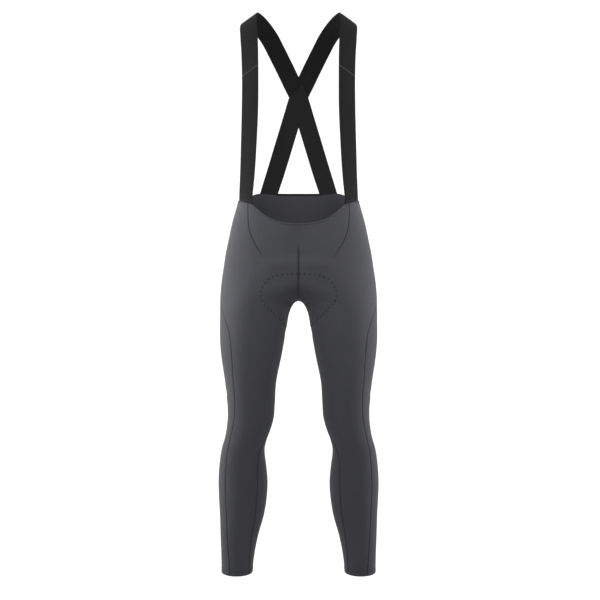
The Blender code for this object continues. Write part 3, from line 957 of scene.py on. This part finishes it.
def knit_material():
    """Brushed knit: fine ribs of stitches, with each row a wave along the ribs, under fuzz. Along
    the seams its colour is darkened by painted shade of their grooves.
    """
    made = bpy.data.materials.get("brushed_knit")
    if made:
        return made
    colour = tuple(bpy.context.scene.tights.colour)
    material, tree, shader = begin_material(
        "brushed_knit", colour, roughness=0.9, gloss=0.12, sheen=0.07,
    )
    u, v = flat_place(tree)
    rib = stripes(tree, u, KNIT_RIB)
    sway = compute(tree, "MULTIPLY", rib, KNIT_SWAY)
    row = stripes(tree, v, KNIT_ROW, sway)
    fuzz = clouds(tree, scale=1400.0)
    height = blend(tree, ((rib, 0.45), (row, 0.3), (fuzz, 1.1)))
    heather = clouds(tree, scale=620.0)
    patches = clouds(tree, scale=11.0, detail=3.0)
    # Painted shade: the knit is darkened along each seam, where its groove lies
    sewn = add_node(tree, "ShaderNodeAttribute", attribute_name="sewn").outputs["Fac"]
    plain = compute(tree, "SUBTRACT", 1.0, compute(tree, "MULTIPLY", sewn, SEAM_SHADE))
    varied = vary(tree, colour, ((heather, 0.5), (patches, 0.16)), plain)
    finish_material(tree, shader, varied, height, distance=0.0003, strength=0.45)
    return material


def elastic_material(kind):
    """Woven elastic: lengthwise cords crossed by fine picks, with darker lines between them that
    are painted shade in the grooves.
    """
    name = kind + "_weave"
    made = bpy.data.materials.get(name)
    if made:
        return made
    # Each kind is a copy of one elastic in its own colour: painted light and shade on those braces
    colour = tuple(getattr(bpy.context.scene.braces, kind))
    material, tree, shader = begin_material(name, colour, roughness=0.8, gloss=0.05, sheen=0.02)
    u, v = flat_place(tree)
    cord = stripes(tree, u, ELASTIC_CORD)
    pick = stripes(tree, v, ELASTIC_PICK)
    fuzz = clouds(tree, scale=1600.0)
    height = blend(tree, ((cord, 0.8), (pick, 0.35), (fuzz, 1.0)))
    # Lighter on the cords and darker between them as the bump rises and falls: painted shade in the
    # grooves
    cords = blend(tree, ((cord, 0.5),), 0.5)
    heather = clouds(tree, scale=700.0)
    varied = vary(tree, colour, ((cords, 0.35), (heather, 0.4)))
    finish_material(tree, shader, varied, height, distance=0.0004, strength=0.5)
    return material


def binding_material():
    """Smooth narrow elastic with fine picks across it."""
    made = bpy.data.materials.get("smooth_elastic")
    if made:
        return made
    colour = tuple(bpy.context.scene.braces.binding)
    material, tree, shader = begin_material(
        "smooth_elastic", colour, roughness=0.7, gloss=0.05, sheen=0.02,
    )
    u, _ = flat_place(tree)
    pick = stripes(tree, u, ELASTIC_PICK)
    varied = vary(tree, colour, ((clouds(tree, scale=700.0), 0.3),))
    finish_material(tree, shader, varied, pick, distance=0.0002, strength=0.4)
    return material


def thread_material(kind):
    """Twisted polyester thread, dark or pale."""
    name = kind + "_thread"
    made = bpy.data.materials.get(name)
    if made:
        return made
    colour = tuple(getattr(bpy.context.scene.sewing, kind))
    material, tree, shader = begin_material(name, colour, roughness=0.6, gloss=0.2, sheen=0.05)
    grain = clouds(tree, scale=2600.0)
    varied = vary(tree, colour, ((grain, 0.6),))
    finish_material(tree, shader, varied, grain, distance=0.0001, strength=0.5)
    return material


# A stitch: how its radius changes along it, how many sides it has, and its share of the pitch
STITCH_RINGS = np.array([(0.1, 0.75), (0.5, 1.0), (0.9, 0.75)])
STITCH_SIDES = 6
STITCH_FILL = 0.8


def stitches(name, runs, radius, thread="dark"):
    """Makes threads between pairs of places: rings of points round each line, whose radius
    swells in its middle, closed by a point at both ends."""
    start, end, outward = (np.concatenate(part) for part in zip(*runs))
    along = unit(end - start)
    side = unit(np.cross(along, outward))
    up = np.cross(side, along)
    turn = np.arange(STITCH_SIDES) * 2 * np.pi / STITCH_SIDES
    round_it = np.cos(turn)[:, None] * side[:, None, :] + np.sin(turn)[:, None] * up[:, None, :]
    line = start[:, None, None, :] + (end - start)[:, None, None, :] * STITCH_RINGS[:, :1, None]
    rings = line + round_it[:, None] * STITCH_RINGS[:, 1, None, None] * radius
    count = len(start)
    body = rings.reshape(count, -1, 3)
    points = np.concatenate([body, start[:, None], end[:, None]], axis=1)
    each = points.shape[1]
    base = np.arange(STITCH_SIDES)
    following = np.roll(base, -1)
    quads = np.concatenate([
        np.stack([following, base, base + STITCH_SIDES, following + STITCH_SIDES], axis=-1) + level
        for level in range(0, (len(STITCH_RINGS) - 1) * STITCH_SIDES, STITCH_SIDES)
    ])
    last = (len(STITCH_RINGS) - 1) * STITCH_SIDES
    near = np.stack([base, following, np.full(STITCH_SIDES, each - 2)], axis=-1)
    far = np.stack([following + last, base + last, np.full(STITCH_SIDES, each - 1)], axis=-1)
    shift = (np.arange(count) * each)[:, None, None]
    faces = (quads + shift).reshape(-1, 4).tolist()
    faces += (np.concatenate([near, far]) + shift).reshape(-1, 3).tolist()
    mesh = bpy.data.meshes.new(name)
    mesh.from_pydata((points.reshape(-1, 3) * MM).tolist(), [], faces)
    declare(add_piece(name, mesh, thread_material(thread)), [])


def sewn_line(points, outward, pitch, zigzag=0.0):
    """Spaces stitches evenly along a line: straight ones that fill a share of the pitch, or
    zigzag ones that swing from side to side by the given width."""
    length = lengths_along(points)
    count = max(int(length[-1] / pitch), 1)
    if zigzag:
        at = np.linspace(0.0, length[-1], count + 1)
        along = unit(np.gradient(points, axis=0))
        side = read_vectors(at, length, unit(np.cross(along, outward)))
        swing = np.where(np.arange(count + 1) % 2, 0.5, -0.5)[:, None] * zigzag
        places = read_vectors(at, length, points) + side * swing
        return places[:-1], places[1:], unit(read_vectors(at, length, outward))[:-1]
    middle = (np.arange(count) + 0.5) * length[-1] / count
    half = STITCH_FILL * pitch / 2
    starts, ends = (read_vectors(middle + way * half, length, points) for way in (-1, 1))
    return starts, ends, unit(read_vectors(middle, length, outward))


def mirrored(runs):
    """The same stitches on the other half."""
    return [tuple(part * MIRROR for part in run) for run in runs]


# Outline of the seat pad, sewn through from the inside: angle, down, from the front middle
# under the crotch to the middle of the seat
PAD_LINE = np.array([
    (-31.6, 652), (-12.5, 652.5), (1.5, 656), (6.5, 664), (7.8, 675), (6.1, 689), (0.8, 704),
    (-8.7, 719), (-21.7, 735), (-38.7, 754), (-54.9, 769), (-74, 781), (-95, 782), (-116, 770),
    (-134, 748), (-147, 720), (-154, 690), (-156, 660), (-158, 632), (-165, 612), (-178, 604),
])
PAD_SAMPLES = 900
PAD_PITCH = 12.0
PAD_STITCH = 5.0
PAD_THREADS = (-1.1, 0.0, 1.1)
PAD_LIFT = 0.1
PAD_STITCH_RADIUS = 0.62

# Rows below the top edge, between two angles, and above the hem
STITCH_PITCH = 2.4
STITCH_RADIUS = 0.4
SCOOP_ANGLES = (0.5, 104.0)
SCOOP_SAMPLES = 500
SCOOP_STITCH = 4.4
HEM_STITCHES = (10.5, 13.0)
HEM_SAMPLES = 700
HEM_LIFT = 0.25

# Rows across the braces: the share of the width that they take up, and for each row how far
# past the brace's end it lies, its lift off the face, its pitch and its swing from side to side
SEWN_WIDTH = 0.96
SEWN_SAMPLES = 40
BRACE_STITCH_INSETS = (2.0, 5.0)
BRACE_STITCH_LIFT = 0.05
BRACE_STITCH_PITCH = 1.6
BRACE_STITCH_SWING = 1.4
JOIN_STITCH_PITCH = 0.9
JOIN_STITCH_SWING = 3.0
JOIN_STITCH_RADIUS = 0.36
POINT_STITCH_INSET = 3.0
POINT_STITCH_LIFT = 0.1
POINT_STITCH_PITCH = 1.8
POINT_SAMPLES = 80

# Brace ends on the tights: how far down they reach, and for each the angles between which it
# lies, its lift, its rise above the top edge, and its lean in degrees for each millimetre down
BRACE_TAB = 20.0
FRONT_TAB = ((44.5, 66.5), -3.2, 6.0, 0.0)
BACK_TAB = ((141.2, 160.5), 0.1, 1.2, -0.081)


def shift_down(points, normals, distance):
    """Moves a line over the cloth, square to itself and downwards: along the cross product of
    its own direction and the outward one."""
    aside = unit(np.cross(unit(np.gradient(points, axis=0)), normals))
    return points + aside * np.where(aside[:, 2:] < 0, distance, -distance)


def pad_stitches():
    """Short stitches across the outline of the seat pad, a cubic curve, on both halves."""
    knots = np.arange(len(PAD_LINE), dtype=float)
    at = np.linspace(0.0, knots[-1], PAD_SAMPLES)
    angle, down = (smooth(knots, PAD_LINE[:, i], at) for i in range(2))
    points, normals = cloth_place(angle, down)
    starts, ends, outward = sewn_line(points + normals * PAD_LIFT, normals, PAD_PITCH)
    along = unit(ends - starts)
    across = unit(np.cross(along, outward)) * PAD_STITCH / 2
    middle = (starts + ends) / 2
    threads = [middle + along * shift for shift in PAD_THREADS]
    runs = [(thread - across, thread + across, outward) for thread in threads]
    return runs + mirrored(runs)


def edge_stitches():
    """Stitches below the rolled top edge, and two rows above each hem."""
    angle = np.linspace(*SCOOP_ANGLES, SCOOP_SAMPLES)
    points, normals = cloth_place(angle, read(WAIST_LINE, angle))
    runs = [sewn_line(shift_down(points, normals, SCOOP_STITCH), normals, STITCH_PITCH)]
    angle = np.linspace(-180.0, 180.0, HEM_SAMPLES)
    for height in HEM_STITCHES:
        points, normals = cloth_place(angle, HEM + HEM_TILT * np.cos(np.radians(angle)) - height)
        runs.append(sewn_line(points + normals * HEM_LIFT, normals, STITCH_PITCH))
    return runs + mirrored(runs)


def across_brace(route, ends, inset, lift, count=SEWN_SAMPLES):
    """Line across a brace, a given way past its ends, lifted off its face."""
    share = np.linspace(-SEWN_WIDTH, SEWN_WIDTH, count)
    at = np.interp(share, BRACE_LINES, ends) + inset
    points, normals = on_route(route, at, share)
    return points + normals * lift, normals


def join_stitches():
    """Close zigzag over the chest joins."""
    joins = length_where(BRACE_ROUTE, above_chest_join)
    points, normals = across_brace(BRACE_ROUTE, joins, 0.0, BRACE_STITCH_LIFT)
    runs = [sewn_line(points, normals, JOIN_STITCH_PITCH, JOIN_STITCH_SWING)]
    return runs + mirrored(runs)


def brace_stitches():
    """Rows across the brace ends, and the outline of the pointed end."""
    ends = length_where(BRACE_ROUTE, above_front_waist)
    runs = []
    for inset in BRACE_STITCH_INSETS:
        points, normals = across_brace(BRACE_ROUTE, ends, inset, BRACE_STITCH_LIFT)
        runs.append(sewn_line(points, normals, BRACE_STITCH_PITCH, BRACE_STITCH_SWING))
    runs += mirrored(runs)
    under = -bpy.context.scene.braces.wall / MM - POINT_STITCH_LIFT
    points, normals = across_brace(
        BACK_ROUTE, pointed_end(), POINT_STITCH_INSET, under, POINT_SAMPLES,
    )
    return runs + mirrored([sewn_line(points, -normals, POINT_STITCH_PITCH)])


def brace_tab(side, turn, kind, limits, lift, rise, lean):
    """End of a brace, sewn to one face of the tights: a strip at a constant lift from the cloth,
    from a rise above the top edge down. Its angle leans in proportion to the way down."""
    rows, columns = TAB_GRID
    level = limits[0] + (limits[1] - limits[0]) * np.linspace(0.0, 1.0, columns)
    part = np.linspace(-rise, BRACE_TAB, rows)[:, None]
    down = read(WAIST_LINE, level) + part
    angle = level + lean * part
    normals = body_normal(angle, down)
    inner = body_point(angle, down) + normals * lift
    outer = inner + normals * bpy.context.scene.braces.wall / MM
    weave = elastic_material(kind)
    piece = cloth_shell(kind + "_tab_" + side, outer * turn, inner * turn, weave)
    declare(piece, [])


# Floor, in metres: its height, its near end, where its curve starts, the curve's radius, its top
# and half its width
FLOOR_HEIGHT = -1.75
SWEEP_FRONT = -5.5
SWEEP_START = 2.0
SWEEP_RADIUS = 1.5
SWEEP_TOP = 4.2
SWEEP_WIDTH = 6.0
SWEEP_STEPS = 25
SWEEP_COLUMNS = 9


def make_sweep():
    """Seamless pale floor: a flat run, a quarter circle and an upright wall, all one width."""
    turn = np.linspace(0.0, np.pi / 2, SWEEP_STEPS)
    curve = SWEEP_START + SWEEP_RADIUS * np.sin(turn)
    deep = np.concatenate([[SWEEP_FRONT], curve, [SWEEP_START + SWEEP_RADIUS]])
    high = np.concatenate([[0.0], SWEEP_RADIUS * (1 - np.cos(turn)), [SWEEP_TOP]]) + FLOOR_HEIGHT
    wide = np.linspace(-SWEEP_WIDTH, SWEEP_WIDTH, SWEEP_COLUMNS)
    points = np.stack(np.broadcast_arrays(wide[None, :], deep[:, None], high[:, None]), axis=-1)
    number = np.arange(len(deep) * SWEEP_COLUMNS).reshape(-1, SWEEP_COLUMNS)
    quads = np.stack([number[:-1, :-1], number[:-1, 1:], number[1:, 1:], number[1:, :-1]], axis=-1)
    mesh = bpy.data.meshes.new("floor")
    mesh.from_pydata(points.reshape(-1, 3).tolist(), [], quads.reshape(-1, 4).tolist())
    material = bpy.data.materials.new("floor_paper")
    material.use_nodes = True
    shader = material.node_tree.nodes["Principled BSDF"]
    shader.inputs["Base Color"].default_value = (0.93, 0.93, 0.93, 1.0)
    shader.inputs["Roughness"].default_value = 0.9
    add_piece("floor", mesh, material)


# Camera, in metres: where it stands, and how much height it sees at the object
CAMERA_PLACE = (0.0036, -3.2, -0.717)
CAMERA_SPAN = 1.53
SENSOR = 36.0

# Soft boxes: name, place, target, width and height, share of the power, and spread in degrees
SOFT_BOXES = (
    ("right_side_light", (-2.1, 0.35, 0.0), (0.0, 0.0, -0.62), (1.1, 1.6), 0.475, 80),
    ("left_side_light", (2.1, 0.35, 0.0), (0.0, 0.0, -0.62), (1.1, 1.6), 0.335, 80),
    ("front_light", (0.0, -1.5, 0.35), (0.0, 0.0, -0.52), (1.4, 0.5), 0.105, 60),
    ("right_front_light", (-2.0, -1.0, -0.2), (0.0, 0.0, -0.6), (0.8, 1.4), 0.035, 70),
    ("wall_light", (0.0, 0.8, 0.15), (0.0, 3.4, 0.15), (5.0, 2.4), 1.1, 180),
)


def make_light(name, place, target, size, watts, spread):
    """Soft box that points at a place."""
    lamp = bpy.data.lights.new(name, "AREA")
    lamp.shape = "RECTANGLE"
    lamp.size, lamp.size_y = size
    lamp.energy = watts
    lamp.spread = math.radians(spread)
    light = bpy.data.objects.new(name, lamp)
    aim = np.array(target, dtype=float) - np.array(place, dtype=float)
    turn = math.atan2(-aim[0], aim[1])
    tilt = math.atan2(math.hypot(aim[0], aim[1]), -aim[2])
    light.location = place
    light.rotation_euler = (tilt, 0.0, turn)
    light.visible_camera = False
    bpy.context.scene.collection.objects.link(light)


def make_world(strength):
    """Even white surroundings."""
    world = bpy.data.worlds.new("white_room")
    world.use_nodes = True
    ground = world.node_tree.nodes["Background"]
    ground.inputs["Color"].default_value = (1.0, 1.0, 1.0, 1.0)
    ground.inputs["Strength"].default_value = strength
    bpy.context.scene.world = world


def make_camera():
    """Camera at the photograph's angle: its lens is the sensor times the distance over the span."""
    lens = bpy.data.cameras.new("camera")
    lens.sensor_width = SENSOR
    lens.sensor_fit = "HORIZONTAL"
    lens.lens = SENSOR * -CAMERA_PLACE[1] / CAMERA_SPAN
    camera = bpy.data.objects.new("camera", lens)
    camera.location = CAMERA_PLACE
    camera.rotation_euler = (math.pi / 2, 0.0, 0.0)
    bpy.context.scene.collection.objects.link(camera)
    bpy.context.scene.camera = camera


class TightsSettings(PropertyGroup):
    """Sizes and colour of the knit panels."""

    wall: FloatProperty(
        name="Cloth Thickness", description="Thickness of the knit", default=0.0016,
        unit="LENGTH",
    )
    seam_depth: FloatProperty(
        name="Seam Depth", description="How far a panel dips into a seam", default=0.0011,
        unit="LENGTH",
    )
    colour: FloatVectorProperty(
        name="Knit Colour", description="Colour of the brushed knit", subtype="COLOR", size=3,
        default=(0.030, 0.0304, 0.035),
    )


class BraceSettings(PropertyGroup):
    """Sizes and colours of the elastics. The front, back and shoulder colours are one elastic,
    painted lighter and darker for the light and shade that fall on each.
    """

    wall: FloatProperty(
        name="Elastic Thickness", description="Thickness of the braces", default=0.0014,
        unit="LENGTH",
    )
    # The front, back and shoulder braces are the same elastic: their three colours are painted
    # light and shade
    front: FloatVectorProperty(
        name="Front Brace Colour", description="Colour of the front braces", subtype="COLOR",
        size=3, default=(0.0062, 0.0062, 0.0062),
    )
    back: FloatVectorProperty(
        name="Back Brace Colour", description="Colour of the back braces", subtype="COLOR",
        size=3, default=(0.0088, 0.0088, 0.0088),
    )
    shoulder: FloatVectorProperty(
        name="Shoulder Colour", description="Colour of the braces over the shoulders",
        subtype="COLOR", size=3, default=(0.0066, 0.0066, 0.0066),
    )
    binding: FloatVectorProperty(
        name="Binding Colour", description="Colour of the back's binding", subtype="COLOR", size=3,
        default=(0.010, 0.010, 0.011),
    )


class SewingSettings(PropertyGroup):
    """Colours of the threads."""

    dark: FloatVectorProperty(
        name="Dark Thread", description="Colour of the stitches on the tights", subtype="COLOR",
        size=3, default=(0.005, 0.005, 0.006),
    )
    pale: FloatVectorProperty(
        name="Pale Thread", description="Colour of the stitches on the braces", subtype="COLOR",
        size=3, default=(0.030, 0.030, 0.031),
    )


class StageSettings(PropertyGroup):
    """Strengths of the studio's light."""

    room: FloatProperty(
        name="Room Light", description="Strength of the white surroundings", default=0.6,
    )
    light: FloatProperty(
        name="Soft Boxes", description="Power shared out among the soft boxes", default=60.0,
        unit="POWER",
    )


class MakeBelly(Operator):
    """Make the two belly panels"""

    bl_idname = "bib_tights.belly"
    bl_label = "Belly Panels"

    def execute(self, context):
        make_belly()
        return {"FINISHED"}


class MakeFrontLegs(Operator):
    """Make the front panels of both legs"""

    bl_idname = "bib_tights.front_legs"
    bl_label = "Front Legs"

    def execute(self, context):
        make_front_legs()
        return {"FINISHED"}


class MakeBackLegs(Operator):
    """Make the seat and back panels of both legs"""

    bl_idname = "bib_tights.back_legs"
    bl_label = "Back Legs"

    def execute(self, context):
        make_back_legs()
        return {"FINISHED"}


class MakeYoke(Operator):
    """Make the upper back panel and its binding"""

    bl_idname = "bib_tights.yoke"
    bl_label = "Upper Back"

    def execute(self, context):
        make_yoke(make_binding())
        return {"FINISHED"}


class MakeBraces(Operator):
    """Make the elastic braces, with their ends that are sewn to the tights"""

    bl_idname = "bib_tights.braces"
    bl_label = "Braces"

    def execute(self, context):
        make_front_braces()
        make_shoulder_braces()
        make_back_braces()
        for side, turn in SIDES:
            brace_tab(side, turn, "front", *FRONT_TAB)
            brace_tab(side, turn, "back", *BACK_TAB)
        return {"FINISHED"}


class MakeSewing(Operator):
    """Sew the pad outline, the edges and the braces"""

    bl_idname = "bib_tights.sewing"
    bl_label = "Sewing"

    def execute(self, context):
        stitches("pad_stitches", pad_stitches(), PAD_STITCH_RADIUS)
        stitches("edge_stitches", edge_stitches(), STITCH_RADIUS)
        stitches("brace_stitches", brace_stitches(), STITCH_RADIUS)
        stitches("join_stitches", join_stitches(), JOIN_STITCH_RADIUS, "pale")
        return {"FINISHED"}


class MakeStage(Operator):
    """Set up the pale floor, the soft lights and the camera"""

    bl_idname = "bib_tights.stage"
    bl_label = "Stage"

    def execute(self, context):
        settings = context.scene.stage
        make_sweep()
        make_world(settings.room)
        for name, place, target, size, share, spread in SOFT_BOXES:
            make_light(name, place, target, size, share * settings.light, spread)
        make_camera()
        context.scene.view_settings.view_transform = "Standard"
        return {"FINISHED"}


class BibTightsPanel(Panel):
    """Lists the pieces and their settings"""

    bl_idname = "VIEW3D_PT_bib_tights"
    bl_label = "Bib Tights"
    bl_space_type = "VIEW_3D"
    bl_region_type = "UI"
    bl_category = "Bib Tights"

    def draw(self, context):
        scene = context.scene
        for group in (scene.tights, scene.braces, scene.sewing, scene.stage):
            for name in group.bl_rna.properties.keys():
                if name not in ("rna_type", "name"):
                    self.layout.prop(group, name)
        for operator in OPERATORS:
            self.layout.operator(operator.bl_idname)


SETTINGS = {
    "tights": TightsSettings,
    "braces": BraceSettings,
    "sewing": SewingSettings,
    "stage": StageSettings,
}
OPERATORS = (MakeBelly, MakeFrontLegs, MakeBackLegs, MakeYoke, MakeBraces, MakeSewing, MakeStage)


def register():
    """Registers the settings, the operators and the panel."""
    for name, group in SETTINGS.items():
        bpy.utils.register_class(group)
        setattr(bpy.types.Scene, name, PointerProperty(type=group))
    for cls in (*OPERATORS, BibTightsPanel):
        bpy.utils.register_class(cls)


def unregister():
    """Takes them all away again."""
    for cls in reversed((*OPERATORS, BibTightsPanel)):
        bpy.utils.unregister_class(cls)
    for name, group in SETTINGS.items():
        delattr(bpy.types.Scene, name)
        bpy.utils.unregister_class(group)


def main():
    """Makes every piece and the stage."""
    register()
    bpy.ops.bib_tights.belly()
    bpy.ops.bib_tights.front_legs()
    bpy.ops.bib_tights.back_legs()
    bpy.ops.bib_tights.yoke()
    bpy.ops.bib_tights.braces()
    bpy.ops.bib_tights.sewing()
    bpy.ops.bib_tights.stage()


if __name__ == "__main__":
    main()
